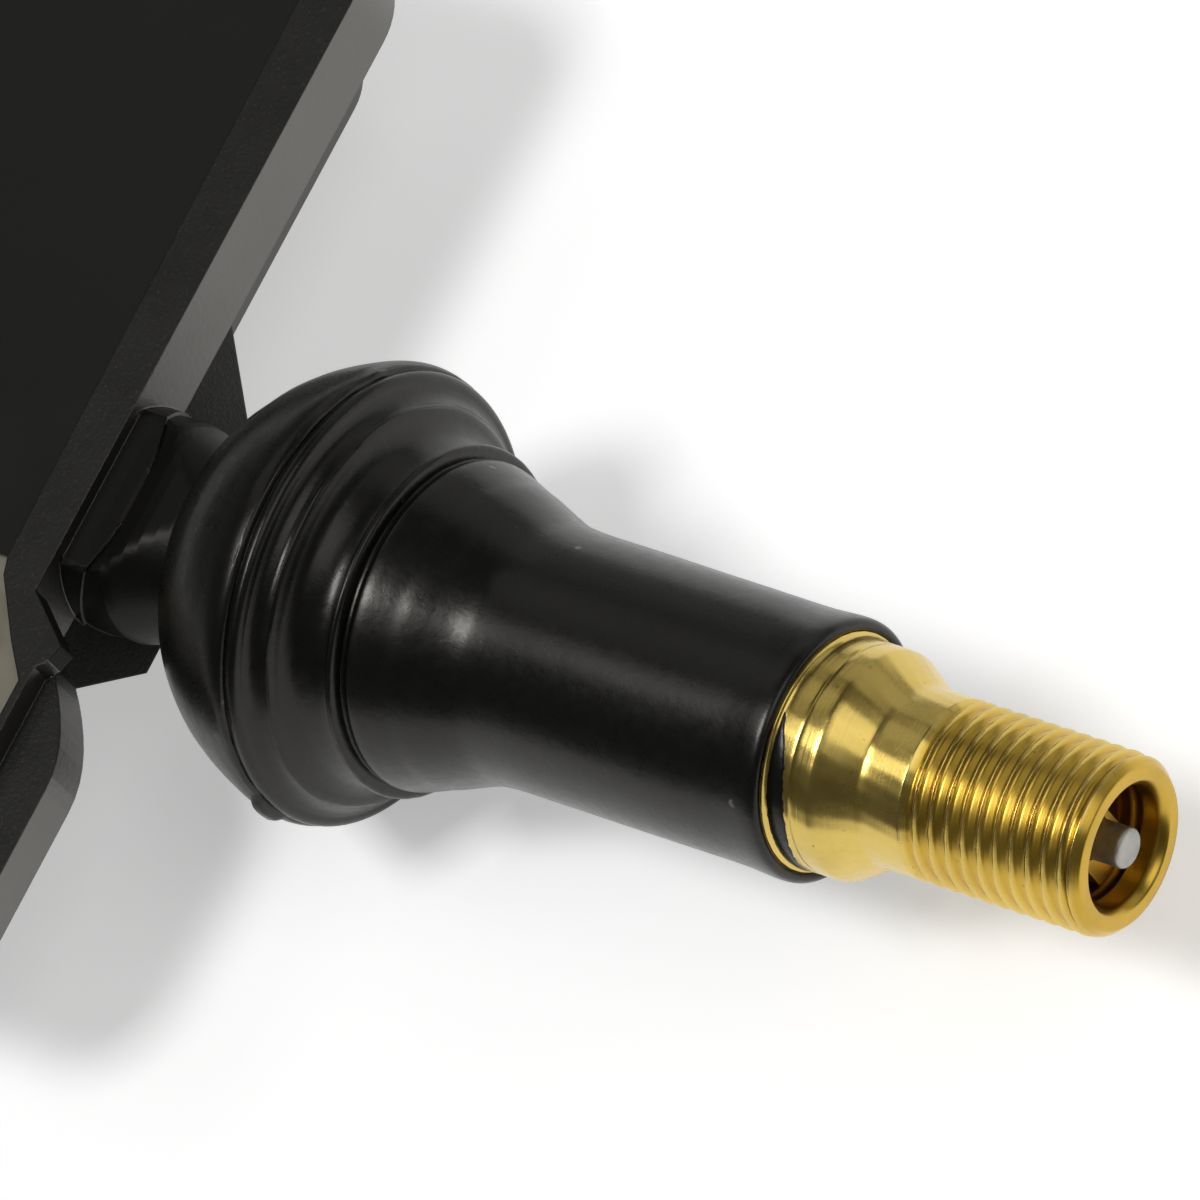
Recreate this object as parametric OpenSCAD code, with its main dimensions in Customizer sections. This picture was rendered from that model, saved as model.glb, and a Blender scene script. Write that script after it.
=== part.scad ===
// Snap-in tyre pressure sensor: rubber covered brass valve on a moulded electronics housing.
// Millimetres. +X runs along the valve to its mouth, +Z is the open face of the housing.
// The origin is on the valve axis, in the groove of the rubber that sits in the wheel rim.

/* [Valve stem] */
// From the rim groove to the mouth of the valve
mouth_reach = 36; // [34:0.5:44]
// Outer diameter of the cap thread
thread_d = 7.72; // [7.6:0.02:8.2]
// Length of the cap thread
thread_len = 6.8; // [5:0.1:7.2]
// Diameter of the turned relief behind the thread
relief_d = 7.5; // [6.6:0.02:7.6]
// Diameter of the brass shoulder in front of the rubber
shoulder_d = 9.9; // [9:0.1:10.1]
// Length of the brass shoulder
shoulder_len = 2.1; // [1.6:0.1:2.8]
// Diameter of the brass ring that the rubber lip grips
grip_d = 10.3; // [10.2:0.05:10.6]
// Diameter of the brass core inside the rubber
stem_core_d = 7.2; // [6.6:0.1:8]
// Diameter of the stem foot in the housing
foot_d = 5.8; // [5:0.1:6.4]
// Diameter of the bore that takes the valve core
core_bore_d = 5.24; // [5.1:0.02:5.4]
// Diameter of the bore below the sealing taper
lower_bore_d = 4.1; // [4:0.05:4.4]
// Diameter of the air passage through the stem
air_bore_d = 2.4; // [1.6:0.1:2.8]

/* [Rubber sleeve] */
// Diameter of the straight rubber stem
sleeve_d = 11.28; // [11:0.02:12]
// Diameter of the lip at the brass end
lip_d = 11.36; // [11.1:0.02:12.1]
// Diameter of the bulb behind the rim
bulb_d = 14.5; // [13.6:0.1:15]
// Diameter of the pale ridge beside the bulb
ridge_d = 15.44; // [15.1:0.02:16]
// Diameter of the groove that sits in the rim
groove_d = 14.2; // [13:0.1:14.8]
// Diameter of the step on the flange face
step_d = 16.9; // [16.2:0.1:17.6]
// Diameter of the flange
flange_d = 20.16; // [19.4:0.02:21.4]
// Radius of the dome behind the flange
dome_r = 10.3; // [10.1:0.05:10.9]
// From the rim groove to the end of the rubber
dome_end = 10.7; // [10.2:0.1:11]

/* [Valve core] */
// Diameter of the head of the valve pin
pin_head_d = 1.74; // [1.5:0.02:1.8]
// Diameter of the shaft of the valve pin
pin_shaft_d = 1.2; // [1:0.02:1.3]
// Outer diameter of the core barrel
barrel_d = 3.5; // [3.3:0.02:3.6]
// Bore of the core barrel
barrel_bore_d = 2.6; // [2.5:0.02:2.8]
// Wire diameter of the core spring
spring_wire_d = 0.22; // [0.16:0.01:0.26]
// Depth of the core plug below the mouth
plug_depth = 1.7; // [1.2:0.1:2.2]
// Travel of the valve pin
pin_travel = 1.6; // [1:0.1:1.8]

/* [Housing] */
// From the rim groove to the front face of the housing
face_gap = 16; // [15:0.5:20]
// From the valve axis to the near end
near_reach = 24; // [23.4:0.2:28]
// Height of the rim above the valve axis
rim_top = 4; // [3.9:0.05:5]
// Height of the underside of the rim above the axis
rim_foot = 0.65; // [0.4:0.05:1]
// Depth of the tubs below the valve axis
tub_depth = 5.8; // [5.7:0.1:8]
// Wall thickness of the tubs
wall = 1.2; // [1:0.05:1.3]
// Floor thickness of the tubs
floor_t = 1; // [0.8:0.05:1]
// Radius of the corners of the rim
corner_r = 4; // [2.5:0.1:5]
// Thickness of the cover plate
cover_t = 0.65; // [0.5:0.05:0.7]
// Height of the ear in front of the near end
ear_top = 2.85; // [1.8:0.05:3.2]
// Half width of the driver channel
channel_half = 3.2; // [2.9:0.05:3.3]
// Thickness of the bracket that the stem is clamped to
bracket_t = 3.2; // [2.6:0.1:3.6]

/* [Electronics] */
// Diameter of the coin cell
cell_d = 20; // [18:0.1:20.2]
// Height of the coin cell
cell_h = 5; // [3.2:0.1:5]
// Gap between the cell and the side walls of its tub
cell_side_gap = 0.2; // [0.1:0.05:1]
// Gap between the cell and the end walls of its tub
cell_end_gap = 0.5; // [0.1:0.05:1.5]
// Thickness of the circuit board
board_t = 0.8; // [0.6:0.05:1]
// Height of the board above the tub floor
board_lift = 3.8; // [3.4:0.1:4]
// Side of the sensor chip
chip_side = 6; // [4:0.1:7]
// Thickness of the contact strips
strip_t = 0.2; // [0.1:0.02:0.24]
// Depth of the potting surface below the rim
potting_drop = 0.45; // [0.3:0.05:0.7]

/* [Hidden] */
$fn = 72;
fit = 0.02;
eps = 0.01;

// stations along the valve, measured back from its mouth
bevel = 0.5;
relief_start = bevel + thread_len;
relief_slope = 0.5;
relief_flat = 0.35;
land_start = relief_start + relief_slope + relief_flat + 0.35;
land_len = 2.3;
cone_len = 1.7;
shoulder_start = land_start + land_len + cone_len;
turned_line = shoulder_start + 0.9;
sleeve_start = shoulder_start + shoulder_len;
grip_len = 1.8;
grip_taper = 1.8;
stem_base = mouth_reach + dome_end;
bracket_back = mouth_reach + face_gap + bracket_t;
shoulder_t = 1.4;
foot_end = bracket_back - shoulder_t;
mouth_d = 5.76;
mouth_bevel = 0.35;

// valve core stations
taper_start = plug_depth + 5.7;
taper_len = 2.2;
plug_len = 4.9;
slot_depth = 1.3;
barrel_start = plug_depth + plug_len;
barrel_len = 8.6;
barrel_end = barrel_start + barrel_len;
barrel_floor = 1;
barrel_top = 0.8;
pin_clear = 0.08;
pin_collar_d = 2.3;
pin_collar_start = barrel_start + barrel_top + 0.6;
pin_collar_len = 0.5;
seal_t = 0.7;
cup_t = 0.9;
cup_d = barrel_d;
seal_d = cup_d - 0.4;
cup_start = barrel_end + seal_t;
pin_end = cup_start + cup_t + 0.2;
lower_bore_end = pin_end + pin_travel + 8;
gasket_start = taper_start + 0.8;
gasket_len = 1.2;
screw_d = 3;
screw_bore_d = 1.4;
screw_head_d = 4.2;
screw_head_t = 1.4;
washer_t = 0.4;
screw_grip = 6.4;
screw_hole_start = bracket_back - screw_grip - 1;

// housing planes
tub_setback = 4.6;
tub_inset = 2;
dam_y = channel_half + wall;
body_depth = tub_setback + wall + cell_d + 2 * cell_end_gap + wall + tub_inset;
far_reach = dam_y + cell_d + 2 * cell_side_gap + wall + tub_inset;
front_x = -face_gap;
back_x = front_x - body_depth;
near_y = -near_reach;
far_y = far_reach;
base_z = -tub_depth;
floor_z = base_z + floor_t;
tub_front = front_x - tub_setback;
tub_back = back_x + tub_inset;
tub_near = near_y + tub_inset;
tub_far = far_y - tub_inset;
tub_r = 3;
cavity_front = tub_front - wall;
cavity_back = tub_back + wall;
cavity_near = tub_near + wall;
cavity_far = tub_far - wall;
cavity_r = tub_r - wall;
channel_top = 2.2;
deck_t = 0.6;
deck_top = channel_top + deck_t;
cover_seat = rim_top - 0.15 - cover_t;
block_setback = 0.2;
block_lean = 0.316;
block_depth = 4.05;
block_top_near = 9.3;
block_top_far = 9.8;
block_base_half = 5.15;
collar_r = 5.1;
collar_proud = 2;
collar_foot = -0.3;
collar_edge = 0.2;
neck_front_r = 3.92;
neck_r = 4.95;
dome_foot_r = 4.43;
step_back = 1.9;
step_x = front_x + step_back;
nose_reach = 2.6;
jog_y = 5.5;
jog_len = 1.95;
ear_root = 6.6;
ear_x = front_x + 4.65;
ear_start = 8.15;
ear_corner = 13.4;
ear_r = 4;
rim_w = 0.4;
pool_floor = rim_foot + 1;
potting_z = rim_top - potting_drop;
cover_edge_near = 2.2;
cover_edge_slope = 0.016;

// electronics places
board_z = floor_z + board_lift;
board_top = board_z + board_t;
board_gap = 0.2;
board_x0 = cavity_back + board_gap;
board_x1 = cavity_front - board_gap;
board_y0 = cavity_near + board_gap;
board_y1 = -dam_y - board_gap;
post_r = 1.3;
pad_h = strip_t;
cell_x = (cavity_front + cavity_back) / 2;
cell_y = (dam_y + cavity_far) / 2;
cell_z = floor_z + pad_h;
cell_step = 0.2;
cell_cap_r = cell_d / 2 - 1.4;
strip_w = 2.2;
strip_z = deck_top;
negative_x = cavity_back + 3;
positive_x = cell_x + 2.5;
chip_x = board_x1 - 7.2;
chip_y = (board_y0 + board_y1) / 2;
chip_h = 1.8;
port_r = 0.9;
grommet_r = 2.4;
grommet_bore_r = 1.2;
filter_r = 2;
filter_t = 0.3;
coil_len = 7.2;
coil_w = 2.2;
coil_x = board_x1 - 5.2;
coil_y = board_y0 + 3;
antenna_x0 = board_x0 + 1.2;
antenna_x1 = board_x1 - 1.2;
antenna_y = board_y0 + 6.4;
antenna_t = 0.4;
antenna_w = 0.8;
antenna_h = 1.1;
strip_foot = 2.2;
row_1 = board_y1 - 2.8;
row_2 = row_1 - 2.1;
row_3 = row_2 - 1.7;
crystal_size = [3.2, 2.5, 0.8];
capacitor_size = [1.6, 0.8, 0.8];
capacitor_pitch = 2.3;
resistor_size = [1, 0.5, 0.35];
resistor_pitch = 1.8;
radio_filter_size = [3, 1.6, 0.9];

// Points on an arc, from angle a0 to a1, in n steps
function arc(cx, cy, r, a0, a1, n = 10) =
    [for (i = [0 : n]) let (a = a0 + (a1 - a0) * i / n) [cx + r * cos(a), cy + r * sin(a)]];

// Station of a place given by its x
function at(x) = mouth_reach - x;

// Radius of the sealing taper of the stem bore at a station
function taper_r(s) =
    core_bore_d / 2 - (core_bore_d - lower_bore_d) / 2 * (s - taper_start) / taper_len;

// Places its children, turned about Z, with Z running back from the valve mouth
module along_valve() {
    translate([mouth_reach, 0, 0])
        rotate([0, -90, 0])
            children();
}

// A solid turned from a half section of [radius, station] points
module turned(points) {
    along_valve()
        rotate_extrude()
            polygon(points);
}

// A plate with four round corners
module round_plate(x0, x1, y0, y1, z0, z1, r) {
    translate([x0 + r, y0, z0]) cube([x1 - x0 - 2 * r, y1 - y0, z1 - z0]);
    translate([x0, y0 + r, z0]) cube([x1 - x0, y1 - y0 - 2 * r, z1 - z0]);
    for (x = [x0 + r, x1 - r], y = [y0 + r, y1 - r])
        translate([x, y, z0]) cylinder(r = r, h = z1 - z0);
}

// A box between two corners
module block(low, high) {
    translate(low) cube(high - low);
}

// An upright polygon of [y, z] points, from x0 to x1
module upright(x0, x1, points) {
    translate([x0, 0, 0])
        rotate([90, 0, 90])
            linear_extrude(x1 - x0) polygon(points);
}

// A flat polygon of [x, y] points, from z0 to z1
module flat(z0, z1, points) {
    translate([0, 0, z0]) linear_extrude(z1 - z0) polygon(points);
}

// A bent strip through [y, z] corners of its centre line, centred on x
module strip(x, w, t, corners) {
    for (i = [0 : len(corners) - 2]) {
        a = corners[i];
        b = corners[i + 1];
        low = [min(a[0], b[0]), min(a[1], b[1])];
        high = [max(a[0], b[0]), max(a[1], b[1])];
        block([x - w / 2, low[0] - t / 2, low[1] - t / 2], [x + w / 2, high[0] + t / 2, high[1] + t / 2]);
    }
}

// Outside of the brass stem
function stem_outline() = [
    [thread_d / 2 - 0.44, 0],
    [thread_d / 2, bevel],
    [thread_d / 2, relief_start],
    [relief_d / 2, relief_start + relief_slope],
    [relief_d / 2, relief_start + relief_slope + relief_flat],
    [thread_d / 2, land_start],
    [thread_d / 2, land_start + land_len],
    [shoulder_d / 2, shoulder_start],
    [shoulder_d / 2, turned_line],
    [shoulder_d / 2 - 0.07, turned_line + 0.07],
    [shoulder_d / 2 - 0.07, turned_line + 0.17],
    [shoulder_d / 2, turned_line + 0.24],
    [shoulder_d / 2, sleeve_start]];

// Brass surface under the rubber
function bonded_outline() = [
    [grip_d / 2, sleeve_start],
    [grip_d / 2, sleeve_start + grip_len],
    [stem_core_d / 2, sleeve_start + grip_len + grip_taper],
    [stem_core_d / 2, stem_base]];

module brass_stem() {
    color("#b59a4a")
    turned(concat(
        [[mouth_d / 2, 0]],
        stem_outline(),
        bonded_outline(),
        [[foot_d / 2, stem_base],
         [foot_d / 2, foot_end],
         [screw_d / 2 + fit, foot_end],
         [screw_d / 2 + fit, screw_hole_start],
         [air_bore_d / 2, screw_hole_start],
         [air_bore_d / 2, lower_bore_end],
         [lower_bore_d / 2, lower_bore_end],
         [lower_bore_d / 2, taper_start + taper_len],
         [core_bore_d / 2, taper_start],
         [core_bore_d / 2, mouth_bevel]]));
}

module rubber_sleeve() {
    bulb_x = 1.5;
    flare = [[5.6, 0], [5, 0.04], [4, 0.15], [3, 0.36], [2, 0.59], [1, 0.8], [0.3, 0.94], [0, 1]];
    swell = (bulb_d - sleeve_d) / 2;
    lip_round = 0.34;
    ridge_round = 0.22;
    bead_round = 0.3;
    dome_start = -4.4;
    centre = stem_base - sqrt(pow(dome_r, 2) - pow(dome_foot_r, 2));
    start_a = acos((at(dome_start) - centre) / dome_r);
    end_a = asin(dome_foot_r / dome_r);
    color("#33322f")
    turned(concat(
        [[grip_d / 2, sleeve_start]],
        arc(lip_d / 2 - lip_round, sleeve_start + lip_round, lip_round, -70, 0, 5),
        [[lip_d / 2, sleeve_start + 0.9],
         [sleeve_d / 2 - 0.05, sleeve_start + 2.4],
         [sleeve_d / 2, sleeve_start + 9]],
        [for (p = flare) [sleeve_d / 2 + swell * p[1], at(bulb_x + p[0])]],
        [[bulb_d / 2 - 0.12, at(bulb_x - 0.22)],
         [bulb_d / 2 - 0.16, at(bulb_x - 0.4)]],
        arc(ridge_d / 2 - ridge_round, at(0.76), ridge_round, -75, 60, 6),
        [[groove_d / 2 + 0.1, at(0.38)],
         [groove_d / 2, at(0.15)],
         [groove_d / 2, at(-0.1)],
         [groove_d / 2 + 0.28, at(-0.6)],
         [groove_d / 2 + 0.75, at(-1.25)],
         [step_d / 2 - 0.3, at(-1.42)],
         [step_d / 2 + 0.25, at(-1.55)],
         [step_d / 2 + 0.37, at(-1.74)],
         [step_d / 2 + 0.7, at(-2.2)]],
        arc(flange_d / 2 - 0.26 - bead_round, at(-2.66), bead_round, -75, 55, 6),
        [[flange_d / 2 - 0.4, at(-3.1)],
         [flange_d / 2 - 0.1, at(-3.38)],
         [flange_d / 2, at(-3.65)],
         [flange_d / 2, at(-3.9)],
         [flange_d / 2 - 0.2, at(-4.05)],
         [dome_r * sin(start_a), at(dome_start)]],
        [for (i = [1 : 14]) let (a = start_a + (end_a - start_a) * i / 14)
            [dome_r * sin(a), centre + dome_r * cos(a)]],
        [[stem_core_d / 2, stem_base],
         [stem_core_d / 2, sleeve_start + grip_len + grip_taper],
         [grip_d / 2, sleeve_start + grip_len]]));
}

// Threaded top of the valve core, with two flats for the core tool
module core_plug() {
    plug_r = core_bore_d / 2 - fit;
    bore_r = pin_head_d / 2 + pin_clear;
    flat_half = 1.25;
    flat_x = mouth_reach - plug_depth - slot_depth;
    color("#a88f45")
    difference() {
        turned([
            [bore_r, plug_depth],
            [plug_r - 0.25, plug_depth],
            [plug_r - 0.25, plug_depth + slot_depth],
            [plug_r, plug_depth + slot_depth + 0.25],
            [plug_r, barrel_start],
            [bore_r, barrel_start]]);
        for (side = [0, 1])
            mirror([0, side, 0])
                block([flat_x, flat_half, -plug_r], [mouth_reach + 1, plug_r + 1, plug_r]);
    }
}

module core_barrel() {
    head_r = 2.1;
    neck_len = gasket_start - barrel_start - 0.2;
    color("#b89c4c")
    turned([
        [pin_head_d / 2 + pin_clear, barrel_start],
        [head_r, barrel_start],
        [head_r, barrel_start + neck_len],
        [barrel_d / 2, gasket_start],
        [barrel_d / 2, barrel_end],
        [pin_shaft_d / 2 + 0.35, barrel_end],
        [pin_shaft_d / 2 + 0.35, barrel_end - barrel_floor],
        [barrel_bore_d / 2, barrel_end - barrel_floor],
        [barrel_bore_d / 2, barrel_start + barrel_top],
        [pin_head_d / 2 + pin_clear, barrel_start + barrel_top]]);
}

// Slippery sealing ring between the core and the taper of the stem
module core_gasket() {
    color("#e8e6df")
    turned([
        [barrel_d / 2, gasket_start],
        [taper_r(gasket_start) - fit, gasket_start],
        [taper_r(gasket_start + gasket_len) - fit, gasket_start + gasket_len],
        [barrel_d / 2, gasket_start + gasket_len]]);
}

module core_pin() {
    head_len = plug_depth + 0.7;
    round = 0.18;
    color("#a5a6a2")
    turned(concat(
        [[0, 0]],
        arc(pin_head_d / 2 - round, round, round, -90, 0, 4),
        [[pin_head_d / 2, head_len],
         [pin_shaft_d / 2, head_len + 0.2],
         [pin_shaft_d / 2, pin_collar_start],
         [pin_collar_d / 2, pin_collar_start],
         [pin_collar_d / 2, pin_collar_start + pin_collar_len],
         [pin_shaft_d / 2, pin_collar_start + pin_collar_len],
         [pin_shaft_d / 2, pin_end],
         [0, pin_end]]));
}

module core_cup() {
    lip = 0.4;
    color("#b89c4c")
    turned([
        [pin_shaft_d / 2, cup_start],
        [seal_d / 2, cup_start],
        [seal_d / 2, cup_start - lip],
        [cup_d / 2, cup_start - lip],
        [cup_d / 2, cup_start + cup_t],
        [pin_shaft_d / 2, cup_start + cup_t]]);
}

module cup_seal() {
    color("#3a3836")
    turned([
        [pin_shaft_d / 2, barrel_end],
        [seal_d / 2, barrel_end],
        [seal_d / 2, cup_start],
        [pin_shaft_d / 2, cup_start]]);
}

// Coil spring between the collar of the pin and the floor of the barrel
module core_spring() {
    turns = 8;
    steps = 14;
    sides = 6;
    wire_r = spring_wire_d / 2;
    coil_r = (pin_shaft_d + barrel_bore_d) / 4;
    low = pin_collar_start + pin_collar_len + wire_r + eps;
    high = barrel_end - barrel_floor - wire_r - eps;
    rings = turns * steps;
    points = [for (i = [0 : rings], j = [0 : sides - 1])
        let (a = 360 * i / steps, b = 360 * j / sides)
        [(coil_r + wire_r * cos(b)) * cos(a),
         (coil_r + wire_r * cos(b)) * sin(a),
         low + (high - low) * i / rings + wire_r * sin(b)]];
    walls = [for (i = [0 : rings - 1], j = [0 : sides - 1])
        let (k = (j + 1) % sides)
        [i * sides + j, (i + 1) * sides + j, (i + 1) * sides + k, i * sides + k]];
    ends = [[for (j = [0 : sides - 1]) j],
        [for (j = [0 : sides - 1]) rings * sides + sides - 1 - j]];
    color("#8c8d88")
    along_valve()
        polyhedron(points, concat(walls, ends));
}

// Hollow screw that clamps the stem foot to the bracket and lets the air through
module retaining_screw() {
    head = bracket_back + washer_t;
    lobe_r = 0.3;
    socket_r = 1.05;
    socket_depth = 0.9;
    color("#9a9b98")
    difference() {
        turned([
            [screw_bore_d / 2, bracket_back - screw_grip],
            [screw_d / 2, bracket_back - screw_grip],
            [screw_d / 2, head],
            [screw_head_d / 2, head],
            [screw_head_d / 2, head + screw_head_t - 0.3],
            [screw_head_d / 2 - 0.3, head + screw_head_t],
            [screw_bore_d / 2, head + screw_head_t]]);
        along_valve()
            translate([0, 0, head + screw_head_t - socket_depth]) {
                cylinder(r = socket_r, h = socket_depth + 1);
                for (i = [0 : 5])
                    rotate(60 * i)
                        translate([socket_r, 0, 0])
                            cylinder(r = lobe_r, h = socket_depth + 1, $fn = 24);
            }
    }
}

module screw_washer() {
    color("#b3b3b0")
    turned([
        [screw_d / 2 + 0.1, bracket_back],
        [screw_head_d / 2, bracket_back],
        [screw_head_d / 2, bracket_back + washer_t],
        [screw_d / 2 + 0.1, bracket_back + washer_t]]);
}

// Front edge of the cover plate, which is slightly out of square with the rim
function cover_front(y) = front_x - cover_edge_near - cover_edge_slope * (y + dam_y);

function cover_outline(gap) = [
    [cavity_back - 0.6 + gap, -dam_y],
    [cover_front(-dam_y) - gap, -dam_y],
    [cover_front(cavity_far) - gap, cavity_far + 0.6 - gap],
    [cavity_back - 0.6 + gap, cavity_far + 0.6 - gap]];

// Front edge of the potting pool, which steps forward over the ear
function pool_outline() = [
    [cavity_back, cavity_near - 0.6],
    [step_x - rim_w, cavity_near - 0.6],
    [step_x - rim_w, -jog_y - 4],
    [front_x + 0.1, -jog_y - 2.4],
    [front_x - 1.9, -jog_y + 0.2],
    [cover_front(-dam_y), -dam_y],
    [cavity_back, -dam_y]];

// Rim, whose front edge makes a small nose between the wall and the ear
module rim_body() {
    round_plate(back_x, front_x, near_y, far_y, rim_foot, rim_top, corner_r);
    round_plate(back_x, step_x, near_y, -ear_start - 0.6, rim_foot, rim_top, corner_r / 2);
    flat(ear_top, rim_top, [
        [front_x - 4, -jog_y],
        [front_x, -jog_y],
        [front_x + nose_reach, -jog_y - jog_len],
        [front_x + nose_reach - 0.2, -ear_start - 0.1],
        [step_x, -ear_start - 0.6],
        [step_x, -ear_start - 3],
        [front_x - 4, -ear_start - 3]]);
}

// Rounded ear in front of the near end, on a ledge below the rim
module ear() {
    flat(rim_foot, ear_top, concat(
        [[step_x - 4, -ear_root], [front_x, -ear_root]],
        [for (i = [0 : 8])
            [step_x + (ear_x - step_x) * sin(90 * i / 8),
             -ear_start - (ear_corner - ear_start) * pow(i / 8, 1.07)]],
        [[ear_x, near_y + ear_r], [step_x - 4, near_y + ear_r]]));
    translate([ear_x - ear_r, near_y + ear_r, rim_foot]) cylinder(r = ear_r, h = ear_top - rim_foot);
    block([step_x - 6, near_y, rim_foot], [ear_x - ear_r, near_y + ear_r + 1, ear_top]);
}

// Ring around the neck, proud at its top and level with the block's face below
module collar() {
    front = at(front_x);
    intersection() {
        turned([
            [0, front - collar_proud],
            [collar_r - collar_edge, front - collar_proud],
            [collar_r, front - collar_proud + collar_edge],
            [collar_r, front + 1],
            [0, front + 1]]);
        translate([0, collar_r + 1, 0])
            rotate([90, 0, 0])
                linear_extrude(2 * collar_r + 2)
                    polygon([
                        [front_x - 2, -collar_r],
                        [front_x, collar_foot],
                        [front_x + collar_proud, collar_r],
                        [front_x + collar_proud, collar_r + 1],
                        [front_x - 2, collar_r + 1]]);
    }
}

// Wedge shaped block under the rim that carries the valve, its face leaning forward below
module valve_block() {
    face_top = front_x - block_setback;
    face_foot = face_top + block_lean * (rim_foot + block_depth);
    intersection() {
        upright(tub_front - eps, face_foot + 1, [
            [-block_top_near, rim_foot],
            [-block_base_half, -block_depth],
            [block_base_half, -block_depth],
            [block_top_far, rim_foot]]);
        translate([0, near_reach, 0])
            rotate([90, 0, 0])
                linear_extrude(2 * near_reach)
                    polygon([
                        [tub_front - 1, -block_depth - 1],
                        [face_foot + block_lean, -block_depth - 1],
                        [face_top - block_lean, rim_foot + 1],
                        [tub_front - 1, rim_foot + 1]]);
    }
    turned([
        [0, stem_base],
        [neck_front_r, stem_base],
        [neck_front_r + 0.11, stem_base + 0.6],
        [neck_front_r + 0.25, stem_base + 1.1],
        [neck_front_r + 0.46, stem_base + 1.7],
        [neck_front_r + 0.7, stem_base + 2.3],
        [neck_r - 0.11, stem_base + 2.8],
        [neck_r, stem_base + 3.2],
        [neck_r, at(face_top) + 1],
        [0, at(face_top) + 1]]);
    collar();
}

// Hollows of the tray: near tub, far tub, potting pool and cover recess
module tray_hollows() {
    round_plate(cavity_back, cavity_front, cavity_near, -dam_y, floor_z, rim_top + 1, cavity_r);
    round_plate(cavity_back, cavity_front, dam_y, cavity_far, floor_z, rim_top + 1, cavity_r);
    flat(pool_floor, rim_top + 1, pool_outline());
    flat(cover_seat, rim_top + 1, cover_outline(0));
    for (x = [negative_x, positive_x])
        block([x - strip_w / 2 - 0.2, -dam_y - 1, deck_top], [x + strip_w / 2 + 0.2, dam_y + 1, cover_seat + 1]);
}

module housing_tray() {
    color("#3b3a38")
    difference() {
        union() {
            difference() {
                union() {
                    rim_body();
                    ear();
                    valve_block();
                    round_plate(tub_back, tub_front, tub_near, tub_far, base_z, rim_foot + 1, tub_r);
                }
                tray_hollows();
                block([back_x - 1, -channel_half, base_z - 1], [at(bracket_back), channel_half, channel_top]);
            }
            for (x = [board_x0 + post_r, board_x1 - post_r], y = [board_y0 + post_r, board_y1 - post_r])
                translate([x, y, floor_z - eps]) cylinder(r = post_r, h = board_lift + eps, $fn = 32);
            for (a = [60, 180, 300])
                translate([cell_x + 7 * cos(a), cell_y + 7 * sin(a), floor_z - eps])
                    cylinder(r = 1, h = pad_h + eps, $fn = 32);
        }
        along_valve() {
            translate([0, 0, stem_base - 1])
                cylinder(r = foot_d / 2 + fit, h = foot_end - stem_base + 1);
            translate([0, 0, foot_end - 1])
                cylinder(r = screw_d / 2 + 0.1, h = shoulder_t + 2);
        }
        translate([chip_x, chip_y, base_z - 1]) cylinder(r = port_r, h = floor_t + 2);
        translate([chip_x, chip_y, base_z - 1]) cylinder(r = filter_r, h = 1 + filter_t);
    }
}

module cover_plate() {
    color("#474643")
    flat(cover_seat, cover_seat + cover_t, cover_outline(0.05));
}

module board_parts() {
    circuit_board();
    positive_strip();
    negative_strip();
    coil_core();
    coil_winding();
    rf_antenna();
    crystal();
    capacitors();
    resistors();
    radio_filter();
}

// Casting resin over the board, filling the pool up to just below the rim
module potting() {
    color("#d9c79a")
    difference() {
        union() {
            round_plate(cavity_back, cavity_front, cavity_near, -dam_y, board_top, potting_z, cavity_r);
            flat(pool_floor, potting_z, pool_outline());
        }
        board_parts();
    }
}

module circuit_board() {
    color("#2d5a3c")
    round_plate(board_x0, board_x1, board_y0, board_y1, board_z, board_top, cavity_r);
}

module coin_cell() {
    crimp = 0.5;
    color("#b9babb")
    translate([cell_x, cell_y, cell_z])
        rotate_extrude()
            polygon([
                [0, 0],
                [cell_cap_r, 0],
                [cell_cap_r, cell_step],
                [cell_d / 2 - crimp, cell_step],
                [cell_d / 2, cell_step + crimp],
                [cell_d / 2, cell_h - 0.3],
                [cell_d / 2 - 0.3, cell_h],
                [0, cell_h]]);
}

// Strip welded under the cell, up through the corner and over the deck to the board
module negative_strip() {
    mid = strip_t / 2;
    color("#c2c0b4")
    strip(negative_x, strip_w, strip_t, [
        [cell_y - 3, floor_z + mid],
        [dam_y + 0.3, floor_z + mid],
        [dam_y + 0.3, strip_z + mid],
        [-dam_y - 1, strip_z + mid],
        [-dam_y - 1, board_top + mid],
        [-dam_y - 0.4 - strip_foot, board_top + mid]]);
}

// Strip welded on top of the cell and led over the deck to the board
module positive_strip() {
    mid = strip_t / 2;
    color("#c2c0b4")
    strip(positive_x, strip_w, strip_t, [
        [cell_y - 2, cell_z + cell_h + mid],
        [dam_y + 1, cell_z + cell_h + mid],
        [dam_y + 1, strip_z + mid],
        [-dam_y - 1, strip_z + mid],
        [-dam_y - 1, board_top + mid],
        [-dam_y - 0.4 - strip_foot, board_top + mid]]);
}

module sensor_chip() {
    color("#2b2b2d")
    difference() {
        block([chip_x - chip_side / 2, chip_y - chip_side / 2, board_z - chip_h],
            [chip_x + chip_side / 2, chip_y + chip_side / 2, board_z]);
        translate([chip_x, chip_y, board_z - chip_h - 1]) cylinder(r = port_r, h = 2);
    }
}

module port_grommet() {
    color("#8f9492")
    translate([chip_x, chip_y, floor_z])
        difference() {
            cylinder(r = grommet_r, h = board_lift - chip_h);
            translate([0, 0, -1]) cylinder(r = grommet_bore_r, h = board_lift);
        }
}

module port_filter() {
    color("#f0efe9")
    translate([chip_x, chip_y, base_z]) cylinder(r = filter_r, h = filter_t);
}

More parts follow.
